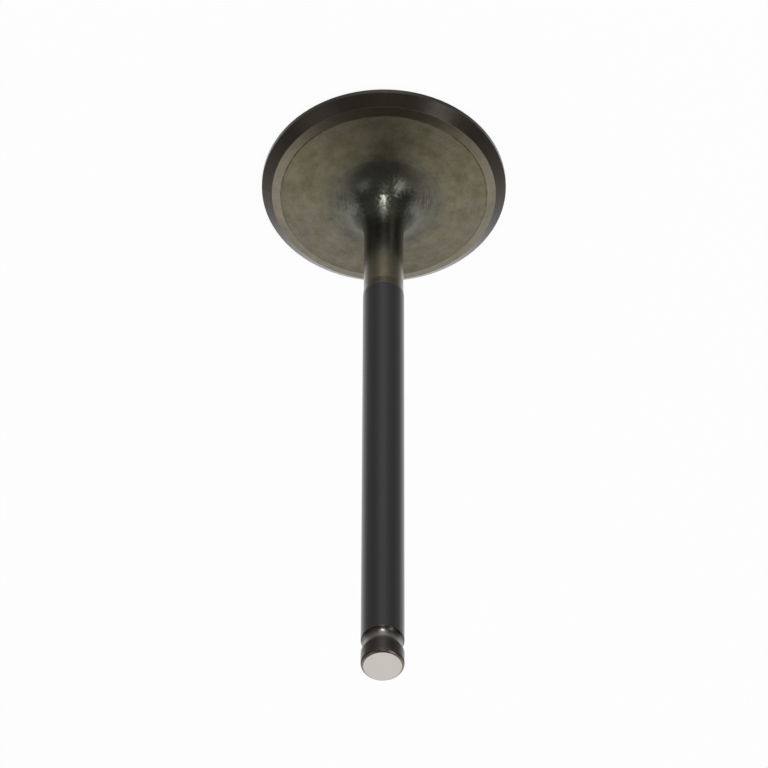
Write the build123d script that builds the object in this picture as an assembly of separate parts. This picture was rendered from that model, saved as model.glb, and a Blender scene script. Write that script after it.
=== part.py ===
from build123d import *
import os
from math import acos, cos, radians, sin, tan

# An intake poppet valve, forged, turned and ground from one bar.
# It stands on its combustion face: Z = 0 is that face, and Z runs up the stem to the tip.
# Every section below is a run of the half profile, radius against height, in millimetres.

# Head: combustion face, margin, seat face and the ring turned behind it
HEAD_R = 18.0
FACE_EDGE_BREAK = 0.25
MARGIN_H = 1.0
SEAT_ANGLE = 45.0
SEAT_WIDTH = 1.5
RING_ANGLE = 18.0
RING_R_IN = 15.25
RING_STEP = 0.07
RING_STEP_WIDTH = 0.10

# Back of the head: a forged cone, then the tulip, which sweeps up in two tangent arcs.
# The outer arc leaves the cone, and the flare takes over at the joint and ends on the neck.
BACK_ANGLE = 10.5
TULIP_R = 5.5
JOINT_ANGLE = 25.0
FLARE_R = 12.0
NECK_R = 2.875

# Stem: the neck ends in a short taper, where the ground and hardened length starts
STEM_R = 2.98
TAPER_Z = 24.3
TAPER_H = 1.5
TAPER_BLEND_R = 4.0

# Keeper groove near the tip: one round-bottomed bead
GROOVE_Z = 98.875
GROOVE_R = 1.8
GROOVE_DEPTH = 0.42
GROOVE_EDGE_R = 0.25

# Tip: the land above the groove has a rounded corner, and the end is ground flat across it
LENGTH = 102.65
TIP_R = 2.6
TIP_CORNER_R = 0.6


def rise(run, angle):
    """Height gained over a radial run on a cone at this angle from the head's plane."""
    return run * tan(radians(angle))


def head_points():
    """Corners from the axis out to the margin, up the seat face and in over the turned ring."""
    seat_r = HEAD_R - SEAT_WIDTH
    seat_z = MARGIN_H + rise(SEAT_WIDTH, SEAT_ANGLE)
    ring_z = seat_z + rise(seat_r - RING_R_IN, RING_ANGLE)
    return [
        (0, 0),
        (HEAD_R - FACE_EDGE_BREAK, 0),
        (HEAD_R, FACE_EDGE_BREAK),
        (HEAD_R, MARGIN_H),
        (seat_r, seat_z),
        (RING_R_IN, ring_z),
        (RING_R_IN - RING_STEP_WIDTH, ring_z + RING_STEP),
    ]


def on_arc(centre, radius, angle):
    """The point of an arc at this angle below the centre's level, on its side toward the axis."""
    return (centre[0] - radius * cos(radians(angle)), centre[1] - radius * sin(radians(angle)))


def tulip_points(cone_start):
    """Start, middle and end of each arc of the sweep, with their joint in the middle of the list."""
    cone_end_angle = 90 - BACK_ANGLE
    joint_r = NECK_R + FLARE_R * (1 - cos(radians(JOINT_ANGLE)))
    tulip_r = joint_r + TULIP_R * cos(radians(JOINT_ANGLE))
    cone_z = cone_start[1] + rise(cone_start[0] - tulip_r, BACK_ANGLE)
    tulip = (tulip_r, cone_z + TULIP_R / cos(radians(BACK_ANGLE)))
    joint = on_arc(tulip, TULIP_R, JOINT_ANGLE)
    flare = (NECK_R + FLARE_R, joint[1] + FLARE_R * sin(radians(JOINT_ANGLE)))
    return [
        on_arc(tulip, TULIP_R, cone_end_angle),
        on_arc(tulip, TULIP_R, (cone_end_angle + JOINT_ANGLE) / 2),
        joint,
        on_arc(flare, FLARE_R, JOINT_ANGLE / 2),
        on_arc(flare, FLARE_R, 0),
    ]


def taper_points():
    """Corners where the neck's taper starts and where the ground stem starts."""
    return [(NECK_R, TAPER_Z), (STEM_R, TAPER_Z + TAPER_H)]


def tip_points():
    """Start, middle and end of the rounded corner between the land and the ground end."""
    corner_r = STEM_R - TIP_CORNER_R
    end_angle = acos((TIP_R - corner_r) / TIP_CORNER_R)
    corner_z = LENGTH - TIP_CORNER_R * sin(end_angle)
    mid_r = corner_r + TIP_CORNER_R * cos(end_angle / 2)
    mid_z = corner_z + TIP_CORNER_R * sin(end_angle / 2)
    return [(STEM_R, corner_z), (mid_r, mid_z), (TIP_R, LENGTH)]


def corner(sketch, point):
    """The sketch's vertex at this profile point."""
    return sketch.vertices().sort_by_distance((point[0], 0, point[1]))[0]


def blank():
    """The half profile of the whole valve, without its keeper groove."""
    head = head_points()
    back = tulip_points(head[-1])
    taper = taper_points()
    tip = tip_points()
    with BuildSketch(Plane.XZ) as profile:
        with BuildLine():
            Polyline(*head, back[0])
            ThreePointArc(*back[:3])
            ThreePointArc(*back[2:])
            Polyline(back[-1], *taper, tip[0])
            ThreePointArc(*tip)
            Polyline(tip[-1], (0, LENGTH), head[0])
        make_face()
    outline = profile.sketch
    return fillet([corner(outline, p) for p in taper], TAPER_BLEND_R)


def keeper_groove(outline):
    """Cut the round bead for the keepers into the profile and round its two edges."""
    centre_r = STEM_R - GROOVE_DEPTH + GROOVE_R
    with BuildSketch(Plane.XZ) as cutter:
        with Locations((centre_r, GROOVE_Z)):
            Circle(GROOVE_R)
    grooved = outline - cutter.sketch
    half_width = (GROOVE_R**2 - (GROOVE_R - GROOVE_DEPTH) ** 2) ** 0.5
    edges = [(STEM_R, GROOVE_Z - half_width), (STEM_R, GROOVE_Z + half_width)]
    return fillet([corner(grooved, p) for p in edges], GROOVE_EDGE_R)


def valve():
    """The whole valve: its profile turned about the stem's axis."""
    return revolve(keeper_groove(blank()), Axis.Z, 360)


os.makedirs("parts", exist_ok=True)
part = valve()
part.label = "valve"
export_step(part, "parts/valve.step")
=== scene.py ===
from math import cos, radians, sin

import bpy
from mathutils import Matrix, Vector


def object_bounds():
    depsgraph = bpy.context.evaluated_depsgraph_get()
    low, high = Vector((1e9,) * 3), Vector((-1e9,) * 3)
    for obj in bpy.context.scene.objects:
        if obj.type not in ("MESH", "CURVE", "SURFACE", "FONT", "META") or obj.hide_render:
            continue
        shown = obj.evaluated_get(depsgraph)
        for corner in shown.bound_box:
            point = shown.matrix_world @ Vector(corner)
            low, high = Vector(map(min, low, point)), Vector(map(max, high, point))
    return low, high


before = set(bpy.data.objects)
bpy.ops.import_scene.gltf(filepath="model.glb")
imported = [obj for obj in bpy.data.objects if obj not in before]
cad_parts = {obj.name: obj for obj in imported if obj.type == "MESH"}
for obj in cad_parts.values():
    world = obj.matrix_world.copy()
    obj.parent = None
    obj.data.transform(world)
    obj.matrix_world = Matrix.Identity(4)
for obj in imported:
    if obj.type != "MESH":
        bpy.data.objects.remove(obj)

CAD_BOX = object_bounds()
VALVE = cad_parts["valve"]

# Camera: a long lens on the -Y side, looking down along the stem at the back of the head.
# It is rolled half a turn, so that the head is at the top of the frame.
IMAGE_PX = 768
FOCAL_PX = 6134.78
SENSOR_MM = 36.0
VIEW_TILT = radians(41.249)
VIEW_ROLL = radians(180.1476)
VIEW_DISTANCE = 0.905575
HEAD_PX = (383.859, 183.832)
CLIP_START = 0.01

# Heights and radii on the valve, in millimetres, where one finish gives way to the next
FACE_Z = 0.03
MARGIN_EDGE_Z = 0.3
SEAT_IN_R = 16.5
RING_IN_R = 15.25
LINE_WIDTH = 0.15
STEM_START_Z = 25.75
GROOVE_START_Z = 97.6
GROOVE_END_Z = 100.15
TIP_Z = CAD_BOX[1][2] * 1000
CORNER_START_Z = TIP_Z - 0.6

# Where a change inside a finish starts and where it is complete, in the same millimetres
BACK_TO_TULIP_R = (7.0, 5.2)
INNER_BACK_R = (10.0, 7.6)
SCUFFS_IN_R = (4.9, 5.5)
SCUFFS_OUT_R = (7.6, 6.5)
PEBBLES_END_Z = (8.8, 10.8)
POLISH_Z = (10.0, 17.0)
NECK_BROWN_Z = (15.0, 22.0)
GROOVE_BROWN_OFF_MIDDLE = (0.75, 1.15)
BARE_RIM_Z = (CORNER_START_Z + 0.28, CORNER_START_Z + 0.42)
TIP_GROUND_Z = (TIP_Z - 0.02, TIP_Z - 0.005)

# Colours of the finishes, as sRGB of 0 to 255
BACK_GREEN = (111, 108, 90)
BACK_BROWN = (116, 110, 98)
BACK_INNER = (100, 98, 89)
SCUFF = (64, 59, 50)
TULIP_GREY = (99, 99, 91)
NECK_BROWN = (94, 87, 72)
RING_DULL = (119, 114, 101)
RING_BRIGHT = (127, 120, 108)
# The next colour is painted shade, a darker line along the ring's inner step.
RING_STEP_SHADE = (86, 78, 65)
HEAD_SKIN = (56, 52, 46)
EDGE_BARE = (108, 104, 102)
STEM_SKIN = (27, 27, 29)
GROOVE_STEEL = (112, 109, 104)
GROOVE_BROWN = (74, 68, 54)
LAND_DARK = (57, 54, 51)
CORNER_WORN = (76, 70, 65)
CORNER_BARE = (130, 123, 115)
TIP_STEEL = (205, 202, 203)
TIP_BLOOM = (207, 202, 202)
FACE_BROWN = (108, 101, 91)
FACE_GREY = (98, 92, 83)
FLOOR_PAINT = (235, 235, 234)

# Studio. Only reflections meet it: a white table under the valve, a dim room over it and soft lights.
# The valve lay on its side there, so the table's up is not the valve's. TABLE_EDGE is where the
# table's white starts and is full ahead of the valve, and BEHIND_EDGE the same behind its head, as
# heights of a unit direction over the table. SIDE_EDGE is where ahead turns into behind.
TABLE_UP = (0, -0.989, -0.148)
TABLE_AHEAD = (0, -0.148, 0.989)
TABLE_EDGE = (0.15, -0.75)
BEHIND_EDGE = (0.15, -0.35)
SIDE_EDGE = (0.1, -0.6)
ROOM_LEVEL = 0.155
BEHIND_LEVEL = 0.48

# Soft round patches of the studio. Each has a direction, as an azimuth from -Y towards -X and an
# elevation that goes on past 90 over the top, and how far from its middle it is full and gone, all
# in degrees. OVERHEAD hides the table, CEILING is warm, SHADES take light away and LIGHTS add it.
OVERHEAD = {"azimuth": 0, "elevation": 60, "full": 36, "gone": 63, "strength": 1.0}
CEILING = {"azimuth": 0, "elevation": 100, "full": 18, "gone": 48, "strength": 1.0}
SHADES = [
    {"azimuth": 0, "elevation": 86, "full": 6, "gone": 24, "strength": 0.5},
    {"azimuth": 180, "elevation": 28, "full": 4, "gone": 14, "strength": 0.32},
    {"azimuth": 75, "elevation": -5, "full": 10, "gone": 32, "strength": 0.45},
    {"azimuth": -75, "elevation": -5, "full": 10, "gone": 32, "strength": 0.3},
]
LIGHTS = [
    {"azimuth": 0, "elevation": -49, "full": 2, "gone": 18, "strength": 0.4},
    {"azimuth": 0, "elevation": -49, "full": 8, "gone": 36, "strength": 0.35},
    {"azimuth": 0, "elevation": -20, "full": 6, "gone": 26, "strength": 0.75},
    {"azimuth": 0, "elevation": -7, "full": 3, "gone": 9, "strength": 13},
    {"azimuth": 3, "elevation": 26, "full": 4, "gone": 13, "strength": 0.6},
    {"azimuth": 41, "elevation": 8, "full": 3, "gone": 8, "strength": 1.6},
    {"azimuth": 45, "elevation": 22, "full": 3, "gone": 9, "strength": 2.8},
    {"azimuth": 51, "elevation": 36, "full": 4, "gone": 13, "strength": 1.5},
    {"azimuth": 55, "elevation": 35, "full": 8, "gone": 26, "strength": 0.3},
    {"azimuth": 93, "elevation": 51, "full": 8, "gone": 26, "strength": 0.15},
    {"azimuth": -62, "elevation": 34, "full": 5, "gone": 20, "strength": 0.5},
]

WHITE = (1.0, 1.0, 1.0, 1.0)
WARM = (1.0, 0.98, 0.86, 1.0)

# Plain light on everything else, in metres, watts and degrees
WORLD_LEVEL = 0.7
LAMP_SIZE = 1.0
LAMP_WATTS = 8.0
LAMP_DISTANCE = 1.5
LAMP_AZIMUTH = 30
LAMP_ELEVATION = 70

# The white ground, in metres: a hair below the combustion face, so that the two don't share a plane
FLOOR_SIZE = 4.0
FLOOR_Z = -0.00002
FLOOR_WHITE = 0.92

# Heights in the material are in millimetres, and this is one in metres
BUMP_UNIT = 0.001

# Gloss of the dark skin, where the steel isn't bare
COAT_SPECULAR = 0.28


class Nodes:
    """A short way to write a node tree: each call adds one node and gives back its output."""

    def __init__(self, tree):
        self.tree = tree
        tree.nodes.clear()

    def add(self, kind, inputs=None, **settings):
        node = self.tree.nodes.new(kind)
        for name, value in settings.items():
            setattr(node, name, value)
        for name, value in (inputs or {}).items():
            self.plug(node.inputs[name], value)
        return node

    def plug(self, socket, value):
        if isinstance(value, bpy.types.NodeSocket):
            self.tree.links.new(value, socket)
        else:
            socket.default_value = value

    def math(self, operation, a, b=0.0):
        return self.add("ShaderNodeMath", {0: a, 1: b}, operation=operation).outputs[0]

    def vector(self, operation, a, b=(0, 0, 0), scale=1.0):
        node = self.add("ShaderNodeVectorMath", {0: a, 1: b, 3: scale}, operation=operation)
        return node.outputs["Value" if operation in ("LENGTH", "DOT_PRODUCT") else "Vector"]

    def step(self, value, low, high, to_low=0.0, to_high=1.0):
        """A soft step: to_low up to low, to_high from high."""
        inputs = {"Value": value, "From Min": low, "From Max": high}
        inputs.update({"To Min": to_low, "To Max": to_high})
        node = self.add("ShaderNodeMapRange", inputs, interpolation_type="SMOOTHSTEP")
        return node.outputs["Result"]

    def edge(self, value, middle, reach):
        """A soft step up from 0 to 1 that reaches this far on each side of its middle."""
        return self.step(value, middle - reach, middle + reach)

    def noise(self, vector, scale, detail=2.0, roughness=0.55):
        """Soft noise of 0 to 1, with about this many lumps to a unit of the vector."""
        inputs = {"Vector": vector, "Scale": scale, "Detail": detail, "Roughness": roughness}
        return self.add("ShaderNodeTexNoise", inputs).outputs["Fac"]

    def mix(self, factor, a, b):
        """A number between two others."""
        node = self.add("ShaderNodeMix", {"Factor": factor, "A": a, "B": b}, data_type="FLOAT")
        return node.outputs["Result"]

    def blend(self, factor, a, b):
        """A colour between two others."""
        node = self.add("ShaderNodeMix", data_type="RGBA")
        self.plug(node.inputs[0], factor)
        self.plug(node.inputs[6], a)
        self.plug(node.inputs[7], b)
        return node.outputs[2]

    def relief(self, noise, depth):
        """A height that swings both ways from nought, by about this depth, from a noise of 0 to 1."""
        return self.math("MULTIPLY", self.math("SUBTRACT", noise, 0.5), depth)

    def shade(self, colour, *reliefs):
        """The colour made lighter and darker by reliefs."""
        level = 1.0
        for relief in reliefs:
            level = self.math("ADD", level, relief)
        return self.vector("SCALE", colour[:3] if isinstance(colour, tuple) else colour, scale=level)


class Place:
    """Where a point is on the valve, in millimetres: its height and its radius from the axis."""

    def __init__(self, n):
        self.n = n
        metres = n.add("ShaderNodeTexCoord").outputs["Object"]
        self.point = n.vector("SCALE", metres, scale=1000.0)
        parts = n.add("ShaderNodeSeparateXYZ", {"Vector": self.point}).outputs
        flat = n.add("ShaderNodeCombineXYZ", {"X": parts["X"], "Y": parts["Y"]}).outputs[0]
        self.z = parts["Z"]
        self.r = n.vector("LENGTH", flat)
        self.around = n.vector("NORMALIZE", flat)

    def lay(self, turns, across):
        """Noise drawn out round the axis, as tool marks are: coarse round it and fine across."""
        n = self.n
        run = n.math("SUBTRACT", self.r, n.math("MULTIPLY", self.z, 0.5))
        fine = n.add("ShaderNodeCombineXYZ", {"Z": n.math("MULTIPLY", run, across)}).outputs[0]
        return n.noise(n.vector("ADD", n.vector("SCALE", self.around, scale=turns), fine), 1.0)


def linear(red, green, blue):
    """An sRGB colour of 0 to 255 as the shader's linear one."""
    parts = [value / 255 for value in (red, green, blue)]
    curve = [p / 12.92 if p <= 0.04045 else ((p + 0.055) / 1.055) ** 2.4 for p in parts]
    return (*curve, 1.0)


def direction(azimuth, elevation):
    """Unit vector at this azimuth, from -Y towards -X, and this elevation, in degrees."""
    around, up = radians(azimuth), radians(elevation)
    return Vector((-sin(around) * cos(up), -cos(around) * cos(up), sin(up)))


def add_camera():
    """The camera at the photo's angle."""
    data = bpy.data.cameras.new("camera")
    data.sensor_width = SENSOR_MM
    data.lens = FOCAL_PX / IMAGE_PX * SENSOR_MM
    data.clip_start = CLIP_START
    turn = Matrix.Rotation(VIEW_TILT, 4, "X") @ Matrix.Rotation(VIEW_ROLL, 4, "Z")
    right = (HEAD_PX[0] - IMAGE_PX / 2) * VIEW_DISTANCE / FOCAL_PX
    down = (HEAD_PX[1] - IMAGE_PX / 2) * VIEW_DISTANCE / FOCAL_PX
    place = turn @ Vector((-right, down, VIEW_DISTANCE))
    camera = bpy.data.objects.new("camera", data)
    camera.matrix_world = Matrix.Translation(place) @ turn
    bpy.context.scene.collection.objects.link(camera)
    bpy.context.scene.camera = camera


def add_lamp():
    """A soft lamp high over the valve on the camera's side, which gives the shadow on the floor."""
    data = bpy.data.lights.new("top_lamp", "AREA")
    data.shape = "DISK"
    data.size = LAMP_SIZE
    data.energy = LAMP_WATTS
    lamp = bpy.data.objects.new("top_lamp", data)
    away = direction(LAMP_AZIMUTH, LAMP_ELEVATION)
    lamp.location = away * LAMP_DISTANCE
    lamp.rotation_euler = away.to_track_quat("Z", "Y").to_euler()
    lamp.visible_glossy = False
    bpy.context.scene.collection.objects.link(lamp)


def glow(n, where, azimuth, elevation, full, gone, strength):
    """A soft round patch: full inside one angle from its middle, and gone outside the other."""
    facing = n.vector("DOT_PRODUCT", where, direction(azimuth, elevation))
    return n.step(facing, cos(radians(gone)), cos(radians(full)), 0.0, strength)


def studio(n):
    """What a reflection meets in each direction: its colour and its strength."""
    where = n.add("ShaderNodeTexCoord").outputs["Generated"]
    height = n.vector("DOT_PRODUCT", where, TABLE_UP)
    clear = n.math("SUBTRACT", 1.0, glow(n, where, **OVERHEAD))
    table = n.math("MULTIPLY", n.step(height, *TABLE_EDGE), clear)
    ahead = n.mix(table, ROOM_LEVEL, 1.0)
    behind = n.step(height, *BEHIND_EDGE, BEHIND_LEVEL, 1.0)
    side = n.step(n.vector("DOT_PRODUCT", where, TABLE_AHEAD), *SIDE_EDGE)
    level = n.mix(side, ahead, behind)
    for shade in SHADES:
        level = n.math("MULTIPLY", level, n.math("SUBTRACT", 1.0, glow(n, where, **shade)))
    for light in LIGHTS:
        level = n.math("ADD", level, glow(n, where, **light))
    return n.blend(glow(n, where, **CEILING), WHITE, WARM), level


def add_world():
    """White all round for the camera, a plain level for the light, and the studio for reflections."""
    world = bpy.data.worlds.new("studio")
    bpy.context.scene.world = world
    world.use_nodes = True
    n = Nodes(world.node_tree)
    rays = n.add("ShaderNodeLightPath").outputs
    seen_colour, seen_level = studio(n)
    colour = n.blend(rays["Is Glossy Ray"], WHITE, seen_colour)
    strength = n.mix(rays["Is Glossy Ray"], WORLD_LEVEL, seen_level)
    strength = n.mix(rays["Is Camera Ray"], strength, 1.0)
    strength = n.mix(rays["Is Transmission Ray"], strength, 1.0)
    background = n.add("ShaderNodeBackground", {"Color": colour, "Strength": strength})
    n.add("ShaderNodeOutputWorld", {"Surface": background.outputs[0]})


def add_floor():
    """A pale floor, nearly white to the camera, which keeps the valve's shadow."""
    bpy.ops.mesh.primitive_plane_add(size=FLOOR_SIZE)
    floor = bpy.context.object
    floor.name = "floor"
    floor.location.z = FLOOR_Z
    paint = bpy.data.materials.new("floor")
    paint.use_nodes = True
    n = Nodes(paint.node_tree)
    rays = n.add("ShaderNodeLightPath").outputs
    seen = n.math("MAXIMUM", rays["Is Camera Ray"], rays["Is Transmission Ray"])
    share = n.math("MULTIPLY", seen, FLOOR_WHITE)
    matt = n.add("ShaderNodeBsdfDiffuse", {"Color": linear(*FLOOR_PAINT)})
    white = n.add("ShaderNodeEmission", {"Color": WHITE})
    mixed = n.add("ShaderNodeMixShader", {0: share, 1: matt.outputs[0], 2: white.outputs[0]})
    n.add("ShaderNodeOutputMaterial", {"Surface": mixed.outputs[0]})
    floor.data.materials.append(paint)
    floor.visible_glossy = False


def finish(colour, metal, rough, height=0.0):
    """One finish of the steel. Its height is in millimetres."""
    return {"colour": colour, "metal": metal, "rough": rough, "height": height}


def lay_over(n, mask, under, over):
    """One finish over another where the mask is 1."""
    mixed = {key: n.mix(mask, under[key], over[key]) for key in ("metal", "rough", "height")}
    mixed["colour"] = n.blend(mask, under["colour"], over["colour"])
    return mixed


def scuffs(n, at):
    """Brown scuffs on each side of the tulip, with their streaks all one way."""
    streaks = n.noise(n.vector("MULTIPLY", at.point, (3.0, 0.5, 0.7)), 1.0, 3.0, 0.65)
    reach = n.math("MULTIPLY", n.step(at.r, *SCUFFS_IN_R), n.step(at.r, *SCUFFS_OUT_R))
    front = n.vector("DOT_PRODUCT", at.around, (0.0, -1.0, 0.0))
    beside = n.math("MULTIPLY", n.step(front, -0.25, 0.0), n.step(front, 0.5, 0.25))
    place = n.math("MULTIPLY", reach, beside)
    mask = n.math("MULTIPLY", place, n.step(streaks, 0.42, 0.6, 0.0, 0.6))
    return mask, finish(linear(*SCUFF), 1.0, 0.35)


def forged_back(n, at):
    """The back of the head: a forging under thin brown and green scale, in soft patches."""
    broad = n.noise(at.point, 0.3, 4.0)
    patch = n.noise(at.point, 0.5, 5.0, 0.65)
    speckle = n.noise(at.point, 3.0, 2.0)
    rings = at.lay(2.0, 1.3)
    colour = n.blend(n.step(broad, 0.36, 0.64), linear(*BACK_GREEN), linear(*BACK_BROWN))
    colour = n.blend(n.step(at.r, *INNER_BACK_R), colour, linear(*BACK_INNER))
    mottle = (n.relief(broad, 0.3), n.relief(patch, 0.95), n.relief(speckle, 0.4))
    colour = n.shade(colour, *mottle, n.relief(rings, 0.3))
    height = n.math("ADD", n.relief(speckle, 0.004), n.relief(patch, 0.006))
    return finish(colour, 1.0, 0.34, height)


def tulip(n, at):
    """The tulip, darker and with the pebbled skin of the forging die, and the smooth brown neck."""
    pebble = n.noise(at.point, 1.9, 0.0)
    streak = at.lay(9.0, 0.5)
    colour = n.blend(n.step(at.z, *NECK_BROWN_Z), linear(*TULIP_GREY), linear(*NECK_BROWN))
    colour = n.shade(colour, n.relief(streak, 0.12), n.relief(pebble, 0.3))
    depth = n.step(at.z, *PEBBLES_END_Z, 0.048, 0.003)
    rough = n.step(at.z, *POLISH_Z, 0.28, 0.2)
    return finish(colour, 1.0, rough, n.relief(pebble, depth))


def turned_ring(n, at):
    """The ring turned behind the seat, with fine tool marks round it."""
    broad = n.noise(at.point, 0.2, 2.0)
    patch = n.noise(at.point, 0.7, 4.0, 0.65)
    marks = at.lay(3.0, 5.0)
    colour = n.blend(n.step(broad, 0.36, 0.64), linear(*RING_DULL), linear(*RING_BRIGHT))
    colour = n.shade(colour, n.relief(marks, 0.25), n.relief(patch, 0.55))
    return finish(colour, 1.0, 0.2, n.relief(marks, 0.002))


def ring_step_shade(n, at):
    """Painted shade along the ring's inner step: a thin, broken darker line that wanders a little round
    the axis.
    """
    broken = n.noise(at.point, 0.8, 3.0)
    wander = n.relief(n.noise(at.point, 0.5), 0.16)
    r = n.math("ADD", at.r, wander)
    inner = n.step(r, RING_IN_R - LINE_WIDTH - 0.08, RING_IN_R - LINE_WIDTH + 0.06)
    outer = n.step(r, RING_IN_R + 0.07, RING_IN_R - 0.05)
    step_shade_line = n.math("MULTIPLY", inner, outer)
    mask = n.math("MULTIPLY", step_shade_line, n.step(broken, 0.35, 0.62, 0.3, 1.0))
    return mask, finish(linear(*RING_STEP_SHADE), 1.0, 0.35)


def hardened_head(n, at):
    """The seat and the margin: ground, then hardened to a dark skin, with the grinding marks left."""
    marks = at.lay(4.0, 6.0)
    chatter = at.lay(26.0, 0.3)
    colour = n.shade(linear(*HEAD_SKIN), n.relief(marks, 0.5), n.relief(chatter, 0.3))
    height = n.math("ADD", n.relief(marks, 0.002), n.relief(chatter, 0.006))
    return finish(colour, 0.6, 0.22, height)


def worn_edge(n, at):
    """Bare steel on the head's lower edge, where the dark skin has worn through."""
    wear = n.noise(at.point, 1.2, 3.0)
    low = n.step(at.z, MARGIN_EDGE_Z + 0.1, MARGIN_EDGE_Z - 0.1)
    mask = n.math("MULTIPLY", low, n.step(wear, 0.35, 0.6))
    return mask, finish(linear(*EDGE_BARE), 1.0, 0.3)


def hardened_stem(n, at):
    """The ground stem under its dark hardened skin, which hides the metal, with faint marks round it."""
    marks = at.lay(3.0, 9.0)
    drift = n.noise(at.point, 0.08, 2.0)
    colour = n.shade(linear(*STEM_SKIN), n.relief(marks, 0.25), n.relief(drift, 0.4))
    return finish(colour, 0.0, 0.2, n.relief(marks, 0.0015))


def turned_groove(n, at):
    """The keeper groove, turned to brighter steel, brownish at its edges."""
    marks = at.lay(3.0, 9.0)
    above_middle = n.math("SUBTRACT", at.z, (GROOVE_START_Z + GROOVE_END_Z) / 2)
    brown = n.step(n.math("ABSOLUTE", above_middle), *GROOVE_BROWN_OFF_MIDDLE)
    colour = n.blend(brown, linear(*GROOVE_STEEL), linear(*GROOVE_BROWN))
    colour = n.shade(colour, n.relief(marks, 0.4))
    return finish(colour, 1.0, 0.24, n.relief(marks, 0.003))


def tip_land(n, at):
    """The land between the groove and the tip, with its rounded corner brown, and bare at its rim."""
    marks = at.lay(3.0, 7.0)
    patch = n.noise(at.point, 0.9, 3.0)
    corner = n.edge(at.z, CORNER_START_Z, 0.15)
    bare = n.step(at.z, *BARE_RIM_Z)
    covered = n.step(at.z, *reversed(BARE_RIM_Z))
    colour = n.blend(corner, linear(*LAND_DARK), linear(*CORNER_WORN))
    colour = n.blend(bare, colour, linear(*CORNER_BARE))
    colour = n.shade(colour, n.relief(marks, 0.2), n.relief(patch, 0.5))
    dull = n.math("MULTIPLY", corner, covered)
    rough = n.mix(bare, n.mix(dull, 0.22, 0.5), 0.3)
    return finish(colour, 1.0, rough, n.relief(patch, 0.003))


def ground_tip(n, at):
    """The tip, ground flat and bright, with a faint bloom."""
    bloom = n.noise(at.point, 0.35, 2.0)
    scratch = n.noise(n.vector("MULTIPLY", at.point, (0.5, 9.0, 1.0)), 1.0)
    colour = n.blend(n.step(bloom, 0.4, 0.6), linear(*TIP_STEEL), linear(*TIP_BLOOM))
    colour = n.shade(colour, n.relief(scratch, 0.05))
    return finish(colour, 1.0, 0.3, n.relief(scratch, 0.0008))


def burnt_face(n, at):
    """The combustion face: turned flat, with marks round its middle and a thin warm bloom."""
    marks = at.lay(2.0, 3.5)
    patch = n.noise(at.point, 0.25, 3.0)
    colour = n.blend(n.step(patch, 0.3, 0.7), linear(*FACE_BROWN), linear(*FACE_GREY))
    colour = n.shade(colour, n.relief(marks, 0.35))
    return finish(colour, 1.0, 0.32, n.relief(marks, 0.005))


def head_steel(n, at):
    """The head and the neck, from the back outwards, with what lies on each zone."""
    steel = lay_over(n, n.step(at.r, *BACK_TO_TULIP_R), forged_back(n, at), tulip(n, at))
    mark, brown = scuffs(n, at)
    steel = lay_over(n, mark, steel, brown)
    steel = lay_over(n, n.edge(at.r, RING_IN_R, 0.05), steel, turned_ring(n, at))
    # Painted shade: a thin darker line along the ring's inner step.
    step_shade_line, scale = ring_step_shade(n, at)
    steel = lay_over(n, step_shade_line, steel, scale)
    steel = lay_over(n, n.edge(at.r, SEAT_IN_R, 0.04), steel, hardened_head(n, at))
    worn, bare = worn_edge(n, at)
    steel = lay_over(n, worn, steel, bare)
    return lay_over(n, n.step(at.z, FACE_Z, 0.0), steel, burnt_face(n, at))


def stem_steel(n, at, steel):
    """The stem's finishes over the head's, from the ground length up to the tip."""
    steel = lay_over(n, n.edge(at.z, STEM_START_Z, 0.1), steel, hardened_stem(n, at))
    steel = lay_over(n, n.edge(at.z, GROOVE_START_Z, 0.05), steel, turned_groove(n, at))
    steel = lay_over(n, n.edge(at.z, GROOVE_END_Z, 0.05), steel, tip_land(n, at))
    return lay_over(n, n.step(at.z, *TIP_GROUND_Z), steel, ground_tip(n, at))


def valve_material():
    """The valve's one steel, with the finish of each zone."""
    paint = bpy.data.materials.new("valve_steel")
    paint.use_nodes = True
    n = Nodes(paint.node_tree)
    at = Place(n)
    steel = stem_steel(n, at, head_steel(n, at))
    relief = {"Height": steel["height"], "Strength": 1.0, "Distance": BUMP_UNIT}
    bump = n.add("ShaderNodeBump", relief)
    shader = n.add(
        "ShaderNodeBsdfPrincipled",
        {
            "Base Color": steel["colour"],
            "Metallic": steel["metal"],
            "Roughness": steel["rough"],
            "Specular IOR Level": COAT_SPECULAR,
            "Normal": bump.outputs[0],
        },
    )
    n.add("ShaderNodeOutputMaterial", {"Surface": shader.outputs[0]})
    return paint


bpy.context.scene.view_settings.view_transform = "Standard"
add_camera()
add_world()
add_floor()
add_lamp()
VALVE.data.materials.clear()
VALVE.data.materials.append(valve_material())
